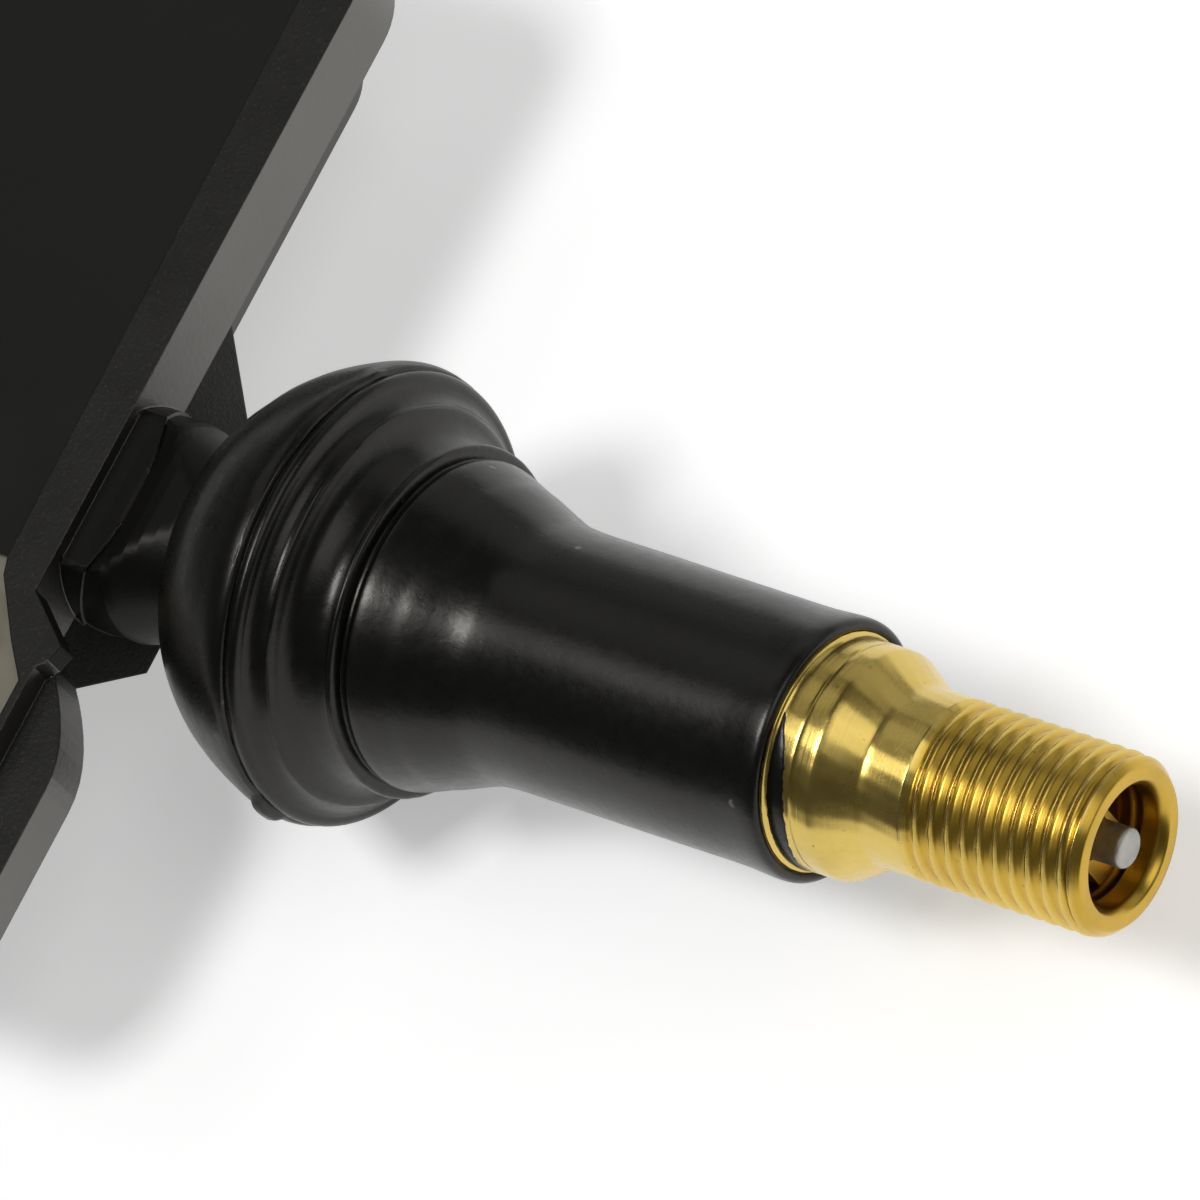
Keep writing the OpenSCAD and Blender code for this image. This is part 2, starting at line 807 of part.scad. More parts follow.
// Ferrite bar with raised ends
module coil_core() {
    end_t = 0.8;
    color("#454240")
    {
        block([coil_x - coil_len / 2, coil_y - coil_w / 2 + 0.4, board_top + 0.4],
            [coil_x + coil_len / 2, coil_y + coil_w / 2 - 0.4, board_top + coil_w - 0.4]);
        for (x = [coil_x - coil_len / 2, coil_x + coil_len / 2 - end_t])
            block([x, coil_y - coil_w / 2, board_top], [x + end_t, coil_y + coil_w / 2, board_top + coil_w]);
    }
}

module coil_winding() {
    end_t = 0.8;
    gap = 0.1;
    color("#b0673a")
    difference() {
        block([coil_x - coil_len / 2 + end_t + gap, coil_y - coil_w / 2 + 0.1, board_top + 0.1],
            [coil_x + coil_len / 2 - end_t - gap, coil_y + coil_w / 2 - 0.1, board_top + coil_w - 0.1]);
        block([coil_x - coil_len, coil_y - coil_w / 2 + 0.4, board_top + 0.4],
            [coil_x + coil_len, coil_y + coil_w / 2 - 0.4, board_top + coil_w - 0.4]);
    }
}

// Stamped loop that stands on the board on two feet
module rf_antenna() {
    color("#c8c5b8") {
        for (x = [antenna_x0, antenna_x1 - antenna_t])
            block([x, antenna_y - antenna_w / 2, board_top],
                [x + antenna_t, antenna_y + antenna_w / 2, board_top + antenna_h]);
        block([antenna_x0, antenna_y - antenna_w / 2, board_top + antenna_h - antenna_t],
            [antenna_x1, antenna_y + antenna_w / 2, board_top + antenna_h]);
    }
}

// A part on the board, from its corner with the lowest x and y
module on_board(x, y, size) {
    translate([x, y, board_top]) cube(size);
}

module crystal() {
    color("#c9c9c4")
    on_board(board_x0 + 3, row_3 - crystal_size[1] / 2, crystal_size);
}

module capacitors() {
    color("#a98a63")
    for (i = [0 : 4])
        on_board(board_x0 + 2.4 + capacitor_pitch * i, row_1 - capacitor_size[1], capacitor_size);
}

module resistors() {
    color("#26262a")
    for (i = [0 : 3])
        on_board(board_x0 + 8 + resistor_pitch * i, row_2 - resistor_size[1], resistor_size);
}

module radio_filter() {
    color("#d8d2c0")
    on_board(board_x0 + 8.2, row_3 - radio_filter_size[1], radio_filter_size);
}

brass_stem();
rubber_sleeve();
core_plug();
core_barrel();
core_gasket();
core_pin();
core_cup();
cup_seal();
core_spring();
retaining_screw();
screw_washer();
housing_tray();
cover_plate();
potting();
circuit_board();
coin_cell();
positive_strip();
negative_strip();
sensor_chip();
port_grommet();
port_filter();
coil_core();
coil_winding();
rf_antenna();
crystal();
capacitors();
resistors();
radio_filter();
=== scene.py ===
import math

import bpy
import bmesh
import numpy as np
from mathutils import Matrix, Vector, noise


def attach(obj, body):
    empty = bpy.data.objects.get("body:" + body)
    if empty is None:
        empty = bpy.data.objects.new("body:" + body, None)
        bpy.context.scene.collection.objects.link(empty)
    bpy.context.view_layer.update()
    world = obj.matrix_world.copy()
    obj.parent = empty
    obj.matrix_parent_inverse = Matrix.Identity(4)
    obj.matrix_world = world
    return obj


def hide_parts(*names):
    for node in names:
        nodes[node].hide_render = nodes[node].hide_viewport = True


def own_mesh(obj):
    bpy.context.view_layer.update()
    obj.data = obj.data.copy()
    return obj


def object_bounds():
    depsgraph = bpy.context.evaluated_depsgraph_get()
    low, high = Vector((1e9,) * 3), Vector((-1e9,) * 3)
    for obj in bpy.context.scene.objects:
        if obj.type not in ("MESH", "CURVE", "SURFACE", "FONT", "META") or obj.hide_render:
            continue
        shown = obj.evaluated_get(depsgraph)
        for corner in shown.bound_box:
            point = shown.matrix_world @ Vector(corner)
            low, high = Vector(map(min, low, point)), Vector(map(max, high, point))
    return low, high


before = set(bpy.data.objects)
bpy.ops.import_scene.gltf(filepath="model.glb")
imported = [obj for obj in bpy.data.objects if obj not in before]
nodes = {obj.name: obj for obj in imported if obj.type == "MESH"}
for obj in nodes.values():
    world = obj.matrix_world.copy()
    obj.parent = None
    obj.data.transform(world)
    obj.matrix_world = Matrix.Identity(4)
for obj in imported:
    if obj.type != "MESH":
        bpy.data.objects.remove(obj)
cad_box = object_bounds()
scene = bpy.context.scene

# Lengths are in millimetres unless a comment says otherwise, and MM turns them into metres.
MM = 0.001
# The valve's mouth in the part's frame. "Back" is the distance from the mouth along the valve.
MOUTH_X = 36.0


def add_object(name, data):
    o = bpy.data.objects.new(name, data)
    scene.collection.objects.link(o)
    return o


def turn_outward(mesh):
    """Turns all faces outward and shades them smooth."""
    work = bmesh.new()
    work.from_mesh(mesh)
    bmesh.ops.recalc_face_normals(work, faces=work.faces)
    work.to_mesh(mesh)
    work.free()
    mesh.shade_smooth()


# Turned forms along the valve. A profile point is (back, radius).

def catmull(points, per):
    """A smooth curve, with per points to a stretch. A point with a third value is a corner."""
    sharp = [len(p) > 2 for p in points]
    pts = [np.array(p[:2], float) for p in points]
    last = len(pts) - 1
    out = []
    for i in range(last):
        p1, p2 = pts[i], pts[i + 1]
        p0 = pts[i - 1] if i > 0 and not sharp[i] else p1 - (p2 - p1)
        p3 = pts[i + 2] if i + 1 < last and not sharp[i + 1] else p2 + (p2 - p1)
        before, length, after = (np.linalg.norm(v) for v in (p1 - p0, p2 - p1, p3 - p2))
        m1 = (p2 - p0) * length / max(length + before, 1e-9)
        m2 = (p3 - p1) * length / max(after + length, 1e-9)
        for k in range(per):
            t = k / per
            out.append((2 * t**3 - 3 * t**2 + 1) * p1 + (t**3 - 2 * t**2 + t) * m1
                       + (-2 * t**3 + 3 * t**2) * p2 + (t**3 - t**2) * m2)
    out.append(pts[-1])
    return out


def steps(a, b, count):
    """Points from a up to b, without b itself."""
    return [(a[0] + (b[0] - a[0]) * k / count, a[1] + (b[1] - a[1]) * k / count)
            for k in range(count)]


def lathe(name, rows, around, shape):
    """A closed profile turned round the valve. shape(back, radius, angle) moves its points."""
    rows = np.asarray(rows, float)
    angle = np.linspace(0, 2 * math.pi, around, endpoint=False)
    turn = np.repeat(angle[None, :], len(rows), 0)
    back = np.repeat(rows[:, :1], around, 1)
    radius = np.repeat(rows[:, 1:2], around, 1)
    back, radius = shape(back, radius, turn)
    points = np.stack([MOUTH_X - back, radius * np.cos(turn), radius * np.sin(turn)], -1) * MM
    row = np.arange(len(rows))[:, None]
    col = np.arange(around)[None, :]
    next_row, next_col = (row + 1) % len(rows), (col + 1) % around
    corners = [row * around + col, row * around + next_col,
               next_row * around + next_col, next_row * around + col]
    quads = np.stack(corners, -1).reshape(-1, 4)
    mesh = bpy.data.meshes.new(name)
    mesh.from_pydata(points.reshape(-1, 3).tolist(), [], quads.tolist())
    mesh.update()
    turn_outward(mesh)
    return add_object(name, mesh)


# The brass stem, with its cap thread and the thread for the valve core cut as true helices

PITCH = 0.794
CREST_R = 3.86
ROOT_R = 3.635
THREAD_START, THREAD_END = 0.30, 8.72
RUN_IN, RUN_OUT = 0.35, 0.30
# Share of the pitch over which the crest is flat, and the power that curves its flanks
CREST_SHARE = 0.09
FLANK_POWER = 4.2
# The thread for the valve core, inside the mouth
BORE_PITCH = 0.706
BORE_DEPTH = 0.10
BORE_START, BORE_END = 1.2, 6.2
# Faint tool marks behind the thread
CHATTER = 0.004
BORE_R = 2.62
SEAT_R = 2.05
AIR_R = 1.2
STEM_R = 3.6
COLLAR_R = 5.15
SHOULDER_R = 4.945
FOOT_START, FOOT_END = 46.7, 53.8
FOOT_R = 2.9
SCREW_HOLE_R = 1.52
SCREW_HOLE_START = 47.8
THREAD_STEPS = 290
STEM_AROUND = 208


def helix(back, turn, pitch):
    """0 in the middle of a crest and 1 in the middle of a root."""
    return np.abs(np.mod(back / pitch + turn / (2 * math.pi), 1.0) - 0.5) * 2


def thread_shape(back, radius, turn):
    flank = np.clip((helix(back, turn, PITCH) - CREST_SHARE) / (1 - CREST_SHARE), 0, 1)
    fade = (np.clip((back - THREAD_START) / RUN_IN, 0, 1)
            * np.clip((THREAD_END - back) / RUN_OUT, 0, 1))
    cut = (CREST_R - ROOT_R) * (1 - (1 - flank) ** FLANK_POWER) * fade
    floor = np.maximum(CREST_R - cut, radius - (CREST_R - ROOT_R) * 0.98)
    outside = (radius > 3.3) & (back > 0.02) & (back < THREAD_END)
    new = np.where(outside, np.minimum(radius, floor), radius)
    inner = (BORE_DEPTH * np.clip((helix(back, turn, BORE_PITCH) - 0.2) / 0.6, 0, 1)
             * (back > BORE_START) * (back < BORE_END))
    new = np.where((radius < 2.7) & (back < 7), radius + inner, new)
    chatter = CHATTER * np.sin(turn * 37 + back * 2.0) * (radius > 3.7) * (back > 8.2)
    return back, new + chatter


def brass_rows():
    # Rounded lip of the bore, flat face of the mouth and its chamfer
    rows = [(0.35, BORE_R), (0.12, 2.80), (0.02, 2.87), (0.0, 2.92)]
    rows += steps((0.0, 3.0), (0.0, 3.36), 4)
    rows += [(0.0, 3.40), (0.03, 3.47)]
    rows += steps((0.06, 3.50), (0.44, 3.83), 9)
    # Blank of the cap thread, and the plain neck behind it
    rows += steps((0.47, CREST_R), (8.70, CREST_R), THREAD_STEPS)
    rows += [(8.70, CREST_R), (8.73, 3.872), (8.78, 3.878)]
    rows += steps((8.88, 3.878), (10.65, 3.868), 9)
    # Cone and shoulder, with a fine turned groove
    rows += [(10.75, 3.88), (10.85, 3.92)]
    rows += steps((10.95, 3.98), (12.35, 4.86), 12)
    rows += [(12.42, 4.895), (12.50, 4.92), (12.60, 4.935), (12.72, 4.94)]
    rows += steps((12.85, 4.945), (13.34, 4.95), 4)
    rows += [(13.38, 4.945), (13.42, 4.93), (13.46, 4.925), (13.50, 4.93), (13.54, 4.945)]
    rows += steps((13.60, 4.95), (14.5, 4.955), 6)
    # Collar at the rubber, then the plain stem inside it
    rows += [(14.56, 4.98), (14.6, 5.10), (14.63, 5.14), (14.70, COLLAR_R), (16.4, COLLAR_R)]
    rows += [(18.2, STEM_R), (FOOT_START - 0.05, STEM_R)]
    # Foot with the screw's hole
    rows += [(FOOT_START, FOOT_R), (FOOT_END, FOOT_R), (FOOT_END, SCREW_HOLE_R),
             (SCREW_HOLE_START, SCREW_HOLE_R)]
    # Air passage, seat of the core and its bore
    rows += [(SCREW_HOLE_START, AIR_R), (30.0, AIR_R), (26.0, AIR_R), (26.0, SEAT_R),
             (9.6, SEAT_R), (7.4, BORE_R)]
    rows += steps((7.2, BORE_R), (0.5, BORE_R), 90)
    return rows


stem = lathe("turned_stem", brass_rows(), STEM_AROUND, thread_shape)
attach(stem, "sensor")
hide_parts("brass_stem")

# The rubber, moulded on the stem

LIP = [(14.66, 5.17, 1), (14.60, 5.30), (14.62, 5.48), (14.76, 5.62), (15.0, 5.675), (15.4, 5.68)]
STRAIGHT = [(15.9, 5.65), (17.0, 5.60), (20.0, 5.61), (24.0, 5.635), (27.0, 5.645), (28.6, 5.655)]
BULB = [
    (29.5, 5.70), (30.0, 5.76), (30.5, 5.88), (31.0, 6.04), (31.5, 6.22), (32.0, 6.41),
    (32.5, 6.59), (33.0, 6.74), (33.5, 6.92), (33.9, 7.06), (34.2, 7.16), (34.4, 7.21),
    (34.56, 7.23), (34.66, 7.19), (34.74, 7.10, 1), (34.86, 7.07), (34.98, 7.10, 1)]
BEAD = [
    (35.02, 7.45), (35.08, 7.64), (35.18, 7.72), (35.30, 7.72), (35.42, 7.60), (35.52, 7.38),
    (35.62, 7.20)]
RIM_GROOVE = [
    (35.8, 7.12), (36.2, 7.20), (36.6, 7.40), (37.0, 7.68), (37.22, 7.94), (37.38, 8.22),
    (37.48, 8.50), (37.56, 8.68), (37.65, 8.80), (37.74, 8.84, 1), (37.95, 8.93), (38.2, 9.15),
    (38.36, 9.42, 1)]
FLANGE = [
    (38.42, 9.66), (38.52, 9.82), (38.66, 9.90), (38.8, 9.90), (38.94, 9.86), (39.02, 9.78, 1),
    (39.06, 9.90), (39.14, 10.02), (39.3, 10.06), (39.5, 10.07), (39.8, 10.03)]
DOME = [
    (40.2, 9.92), (40.8, 9.70), (41.5, 9.42), (42.3, 9.05), (43.3, 8.48), (44.6, 7.42),
    (45.5, 6.25), (46.2, 5.0), (46.6, 4.2), (46.7, 3.65)]
RUBBER = LIP + STRAIGHT + BULB + BEAD + RIM_GROOVE + FLANGE + DOME
RUBBER_BORE = [(46.7, 3.62), (18.2, 3.62), (16.4, 5.16), (14.7, 5.16)]
RUBBER_STEPS = 4
RUBBER_AROUND = 240
WIDEST_R = 10.07
# The ring where the halves of the mould met on the flange, with its flash and a nub of flash.
# Angles round the valve are in degrees.
FLASH_START, FLASH_LENGTH = 39.03, 0.22
NUB_AT, NUB_HALF, NUB_LENGTH, NUB_HEIGHT = 184, 7, 0.42, 0.30
# Two more rings with wavy edges, at the step below the flange and at the end of the bulb
STEP_START, STEP_END = 37.60, 37.80
BULB_START, BULB_END = 34.85, 35.20
# The flange leans a little towards one side
LEAN_AT, LEAN_START, LEAN_LENGTH, LEAN = 22, 38.3, 5.2, 0.20
# The bore and the end of the rubber stay even
EVEN_BELOW_R = 5.25
EVEN_PAST = 46.4


def ragged(angle, scale, seed):
    return noise.noise(Vector((math.cos(angle) * scale, math.sin(angle) * scale, seed)))


def unevenness(back, angle):
    """How far the rubber stands out at one point, with flash at the rings of the mould."""
    wave = noise.noise(Vector((math.cos(angle) * 1.6, math.sin(angle) * 1.6, back * 0.35))) * 0.012
    if FLASH_START < back < FLASH_START + FLASH_LENGTH:
        wave += max(0.0, ragged(angle, 9, 3.0)) * 0.12 - 0.02
    if FLASH_START < back < FLASH_START + NUB_LENGTH:
        wave += NUB_HEIGHT * max(0.0, 1 - ((math.degrees(angle) - NUB_AT) / NUB_HALF) ** 4)
    if LEAN_START < back < LEAN_START + LEAN_LENGTH:
        side = max(0.0, math.cos(angle - math.radians(LEAN_AT))) ** 1.5
        wave += LEAN * side * math.sin(math.pi * (back - LEAN_START) / LEAN_LENGTH) ** 0.5
    if STEP_START < back < STEP_END:
        wave += ragged(angle, 4, 5.0) * 0.06
    if BULB_START < back < BULB_END:
        wave += ragged(angle, 14, 7.0) * 0.02
    return wave


def rubber_shape(back, radius, turn):
    out = radius.copy()
    for i, j in np.ndindex(*back.shape):
        if back[i, j] <= EVEN_PAST and radius[i, j] >= EVEN_BELOW_R:
            out[i, j] += unevenness(back[i, j], turn[i, j])
    return back, np.minimum(out, WIDEST_R / np.maximum(np.abs(np.sin(turn)), 0.5))


rubber = lathe("moulded_sleeve", catmull(RUBBER, RUBBER_STEPS) + RUBBER_BORE,
               RUBBER_AROUND, rubber_shape)
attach(rubber, "sensor")
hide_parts("rubber_sleeve")

# A torn skin of rubber that the mould left over the end of the brass shoulder. Its front edge
# is given as (degrees round the valve, back).

SKIN_EDGE = [
    (96, 14.46), (104, 14.20), (112, 13.92), (122, 13.74), (134, 13.66), (148, 13.62),
    (160, 13.66), (172, 13.76), (184, 13.90), (198, 14.10), (210, 14.30), (222, 14.48)]
# How far the skin stands off the shoulder, from its front edge to its end
SKIN_LIFT = (0.0, 0.035, 0.05, 0.05, 0.045, 0.02)
SKIN_END = 14.54
SKIN_UNDER_R = 4.90
SKIN_ANGLES = np.arange(96.0, 222.5, 1.5)


def skin_backs(degrees):
    """Where the points of one cross section lie along the valve."""
    tear = (noise.noise(Vector((degrees * 0.45, 0.0, 2.0))) * 0.07
            + noise.noise(Vector((degrees * 1.4, 5.0, 0.0))) * 0.03)
    front = min(float(np.interp(degrees, *zip(*SKIN_EDGE))) + tear, SKIN_END - 0.02)
    last = len(SKIN_LIFT) - 1
    return [front + (SKIN_END - front) * k / last for k in range(last + 1)]


def ring_point(back, radius, degrees):
    t = math.radians(degrees)
    return (MOUTH_X - back) * MM, radius * math.cos(t) * MM, radius * math.sin(t) * MM


def rubber_skin():
    outer, under = [], []
    for a in SKIN_ANGLES:
        for back, lift in zip(skin_backs(a), SKIN_LIFT):
            rough = noise.noise(Vector((a * 0.3, back * 4, 1.0))) * 0.012
            outer.append(ring_point(back, SHOULDER_R + lift + rough, a))
            under.append(ring_point(back, SKIN_UNDER_R, a))
    n, m, low = len(SKIN_LIFT), len(SKIN_ANGLES), len(outer)
    faces = []
    for i in range(m - 1):
        for k in range(n - 1):
            q = [i * n + k, i * n + k + 1, (i + 1) * n + k + 1, (i + 1) * n + k]
            faces.append(q)
            faces.append([low + v for v in reversed(q)])
        for k in (0, n - 1):
            faces.append([i * n + k, (i + 1) * n + k, low + (i + 1) * n + k, low + i * n + k])
    for i in (0, m - 1):
        for k in range(n - 1):
            faces.append([i * n + k, i * n + k + 1, low + i * n + k + 1, low + i * n + k])
    mesh = bpy.data.meshes.new("rubber_skin")
    mesh.from_pydata(outer + under, [], faces)
    turn_outward(mesh)
    return add_object("rubber_skin", mesh)


skin = rubber_skin()
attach(skin, "sensor")

# The housing with the flat-topped neck of the photo: its top is level with the rim behind the
# front wall, drops in front of it and rises again to the ring at the rubber.

WALL_X = -16.0
JUST_PAST_WALL_X = WALL_X + 0.03
RIM_TOP = 4.0
NECK_TOP = 3.3
NECK_RISE = 0.62
RISE_X = -14.6
RISE_LENGTH = 2.2
RING_R = 5.0
RING_STEP = 0.14
# Where the flat top may cut, what is shaded flat there, and new edges that let the top step down
NECK_X, NECK_R = (-17.3, -10.6), (3.0, 5.2)
FLAT_X, FLAT_Y, FLAT_Z = (-17.4, -14.0), 5.3, 3.0
NECK_CUTS_X = (WALL_X - 0.01, WALL_X + 0.06, -15.0)
SHARP_EDGE = math.radians(28)


def neck_top(x, r):
    """Highest point of the neck for a vertex at x with radius r from the valve axis."""
    if x < JUST_PAST_WALL_X:
        return RIM_TOP
    t = min(1.0, max(0.0, (x - RISE_X) / RISE_LENGTH))
    return NECK_TOP + NECK_RISE * t * t * (3 - 2 * t) + (RING_STEP if r > RING_R else 0.0)


def housing_shell():
    work = bmesh.new()
    work.from_mesh(nodes["housing_tray"].data)
    for cut in NECK_CUTS_X:
        bmesh.ops.bisect_plane(work, geom=work.verts[:] + work.edges[:] + work.faces[:],
                               plane_co=(cut * MM, 0, 0), plane_no=(1, 0, 0))
    for v in work.verts:
        x, y, z = (c / MM for c in v.co)
        r = math.hypot(y, z)
        if NECK_X[0] < x < NECK_X[1] and NECK_R[0] < r < NECK_R[1] and z > 0:
            v.co.z = min(z, neck_top(x, r)) * MM
    bmesh.ops.dissolve_degenerate(work, dist=0.002 * MM, edges=work.edges[:])
    mesh = bpy.data.meshes.new("moulded_housing")
    work.to_mesh(mesh)
    work.free()
    mesh.shade_smooth()
    mesh.set_sharp_from_angle(angle=SHARP_EDGE)
    for p in mesh.polygons:
        x, y, z = (c / MM for c in p.center)
        if FLAT_X[0] < x < FLAT_X[1] and abs(y) < FLAT_Y and z > FLAT_Z:
            p.use_smooth = False
    return add_object("moulded_housing", mesh)


housing = housing_shell()
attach(housing, "sensor")
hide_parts("housing_tray")

# Materials

WARM = (1.0, 0.975, 0.92, 1.0)
BRASS = (0.68, 0.50, 0.135)
CORE_BRASS = (0.66, 0.48, 0.16)
# Deeper brass colour painted as shade in the roots of the thread and inside the bore
BRASS_ROOT_PAINTED_SHADE = (0.62, 0.40, 0.06)


def rgb(base, gain):
    return tuple(min(1.0, c * gain) for c in base)


def clouds(base, low, high):
    """Ramp stops for a colour that drifts a little between two shades."""
    return [(0.3, rgb(base, low)), (0.7, rgb(base, high))]


class Shader:
    """A node material that is built up from small parts. Noise scales are per metre."""

    def __init__(self, name):
        self.mat = bpy.data.materials.new(name)
        self.mat.use_nodes = True
        self.tree = self.mat.node_tree
        self.tree.nodes.clear()
        self.out = self.add("ShaderNodeOutputMaterial")
        self.bsdf = self.add("ShaderNodeBsdfPrincipled")
        self.link(self.bsdf.outputs["BSDF"], self.out.inputs["Surface"])
        self.coord = self.add("ShaderNodeTexCoord").outputs["Object"]

    def add(self, kind, **values):
        n = self.tree.nodes.new(kind)
        for key, value in values.items():
            setattr(n, key, value)
        return n

    def link(self, a, b):
        self.tree.links.new(a, b)

    def feed(self, socket, value):
        """Links a socket, or sets a number or colour on it."""
        if isinstance(value, (int, float)):
            socket.default_value = value
        elif isinstance(value, tuple):
            socket.default_value = (*value, 1)
        else:
            self.link(value, socket)

    def set(self, **values):
        for key, value in values.items():
            self.bsdf.inputs[key.replace("_", " ")].default_value = value

    def mapping(self, scale):
        m = self.add("ShaderNodeMapping")
        m.inputs["Scale"].default_value = scale
        self.link(self.coord, m.inputs["Vector"])
        return m.outputs["Vector"]

    def noise(self, scale, detail=4.0, rough=0.6, vector=None):
        n = self.add("ShaderNodeTexNoise")
        for key, value in (("Scale", scale), ("Detail", detail), ("Roughness", rough)):
            n.inputs[key].default_value = value
        self.link(vector or self.coord, n.inputs["Vector"])
        return n.outputs["Fac"]

    def cells(self, scale):
        n = self.add("ShaderNodeTexVoronoi")
        n.inputs["Scale"].default_value = scale
        self.link(self.coord, n.inputs["Vector"])
        return n.outputs["Distance"]

    def radius(self):
        """Distance from the valve axis, in metres."""
        n = self.add("ShaderNodeVectorMath", operation="LENGTH")
        self.link(self.mapping((0, 1, 1)), n.inputs[0])
        return n.outputs["Value"]

    def ramp(self, value, stops):
        r = self.add("ShaderNodeValToRGB")
        while len(r.color_ramp.elements) < len(stops):
            r.color_ramp.elements.new(0.5)
        for element, (position, colour) in zip(r.color_ramp.elements, stops):
            element.position = position
            element.color = (*(colour if isinstance(colour, tuple) else (colour,) * 3), 1)
        self.link(value, r.inputs["Fac"])
        return r.outputs["Color"]

    def span(self, value, low, high, to_low, to_high):
        m = self.add("ShaderNodeMapRange")
        limits = {"From Min": low, "From Max": high, "To Min": to_low, "To Max": to_high}
        for key, limit in limits.items():
            m.inputs[key].default_value = limit
        self.link(value, m.inputs["Value"])
        return m.outputs["Result"]

    def math(self, kind, a, b):
        m = self.add("ShaderNodeMath", operation=kind)
        self.feed(m.inputs[0], a)
        self.feed(m.inputs[1], b)
        return m.outputs["Value"]

    def mix(self, factor, a, b):
        m = self.add("ShaderNodeMix", data_type="RGBA")
        self.link(factor, m.inputs["Factor"])
        self.feed(m.inputs[6], a)
        self.feed(m.inputs[7], b)
        return m.outputs[2]

    def colour(self, value):
        self.link(value, self.bsdf.inputs["Base Color"])

    def rough(self, value):
        self.link(value, self.bsdf.inputs["Roughness"])

    def bump(self, layers, bevel=0.0):
        """Height layers as (value, depth), one over the other, on edges eased by bevel."""
        normal = None
        if bevel:
            b = self.add("ShaderNodeBevel", samples=6)
            b.inputs["Radius"].default_value = bevel * MM
            normal = b.outputs["Normal"]
        for value, depth in layers:
            b = self.add("ShaderNodeBump")
            b.inputs["Strength"].default_value = 1.0
            b.inputs["Distance"].default_value = depth * MM
            self.link(value, b.inputs["Height"])
            if normal:
                self.link(normal, b.inputs["Normal"])
            normal = b.outputs["Normal"]
        self.link(normal, self.bsdf.inputs["Normal"])


def plain(name, base, rough, metal=0.0, grain=900.0, spread=0.12, depth=0.01, bevel=0.0,
          coat=0.0, level=0.5):
    """A made surface: slight cloudiness in colour and gloss, with a fine grain."""
    s = Shader(name)
    s.set(Metallic=metal, Roughness=rough, Specular_IOR_Level=level)
    if coat:
        s.set(Coat_Weight=coat, Coat_Roughness=0.08)
    cloud = s.noise(grain * 0.25, 3.0)
    s.colour(s.ramp(cloud, clouds(base, 1 - spread, 1 + spread)))
    s.rough(s.span(cloud, 0.3, 0.7, max(0.03, rough - 0.07), min(1, rough + 0.07)))
    s.bump([(s.noise(grain * 4, 3.0), depth)], bevel)
    return s.mat


def brass(name, base, rough):
    """Turned brass, deeper in colour in the roots of the thread and wherever it lies nearer the
    axis, which is painted shade.
    """
    s = Shader(name)
    s.set(Metallic=1.0, Roughness=rough)
    stain = s.noise(260.0, 6.0, 0.65)
    speck = s.noise(2600.0, 2.0, 0.5)
    crest = s.ramp(stain, [(0.30, rgb(base, 0.84)), (0.48, base), (0.75, rgb(base, 1.10))])
    painted_root_shade = s.ramp(stain, [(0.30, rgb(BRASS_ROOT_PAINTED_SHADE, 0.84)), (0.75, rgb(BRASS_ROOT_PAINTED_SHADE, 1.12))])
    # Painted shade: from a radius of 3.80 mm inwards the colour turns to the deeper root colour,
    # fully so below 3.66 mm
    valley = s.span(s.radius(), 3.66 * MM, 3.80 * MM, 1.0, 0.0)
    dark = s.ramp(speck, [(0.0, 1.0), (0.22, 1.0), (0.28, 0.0)])
    s.colour(s.mix(dark, s.mix(valley, crest, painted_root_shade), rgb(base, 0.45)))
    gloss = s.span(stain, 0.25, 0.75, rough - 0.05, rough + 0.08)
    s.rough(s.math("ADD", gloss, s.math("MULTIPLY", valley, 0.05)))
    turned = s.noise(9000.0, 3.0, 0.7, s.mapping((1.0, 0.004, 0.004)))
    rings = s.noise(160.0, 5.0, 0.75, s.mapping((1.0, 0.02, 0.02)))
    s.bump([(turned, 0.008), (rings, 0.004), (speck, 0.003)])
    return s.mat


def rubber_material():
    """Moulded rubber with specks of dust."""
    s = Shader("rubber_skin")
    s.set(Roughness=0.28, IOR=1.5, Specular_IOR_Level=0.38, Specular_Tint=WARM)
    cloud = s.noise(90.0, 5.0, 0.6)
    fine = s.noise(1500.0, 4.0, 0.7)
    bits = s.noise(700.0, 2.0, 0.5)
    dust = s.math("MULTIPLY", s.span(s.cells(520.0), 0.07, 0.12, 1.0, 0.0),
                  s.span(bits, 0.60, 0.66, 0.0, 1.0))
    tone = s.ramp(cloud, clouds((0.0036, 0.0035, 0.0028), 0.85, 1.25))
    s.colour(s.mix(dust, tone, (0.16, 0.155, 0.14)))
    s.rough(s.span(fine, 0.3, 0.7, 0.25, 0.33))
    s.bump([(cloud, 0.05), (fine, 0.012)])
    return s.mat


def housing_material():
    s = Shader("housing_plastic")
    s.set(Roughness=0.34, IOR=1.7, Specular_IOR_Level=1.0, Specular_Tint=WARM)
    cloud = s.noise(120.0, 4.0)
    s.colour(s.ramp(cloud, clouds((0.0046, 0.0044, 0.0036), 0.85, 1.2)))
    s.rough(s.span(cloud, 0.3, 0.7, 0.30, 0.40))
    s.bump([(s.noise(3200.0, 2.0, 0.6), 0.012)], bevel=0.12)
    return s.mat


def neck_and_corner_shade_material():
    """The duller moulding of the neck and of the deep corners, darker in colour as painted shade.
    """
    s = Shader("neck_plastic_painted_shade")
    s.set(Roughness=0.38, IOR=1.4, Specular_IOR_Level=0.28, Specular_Tint=WARM)
    cloud = s.noise(160.0, 4.0)
    s.colour(s.ramp(cloud, clouds((0.0030, 0.0029, 0.0023), 0.85, 1.2)))
    s.rough(s.span(cloud, 0.3, 0.7, 0.36, 0.48))
    s.bump([(s.noise(2600.0, 3.0, 0.6), 0.014)], bevel=0.12)
    return s.mat


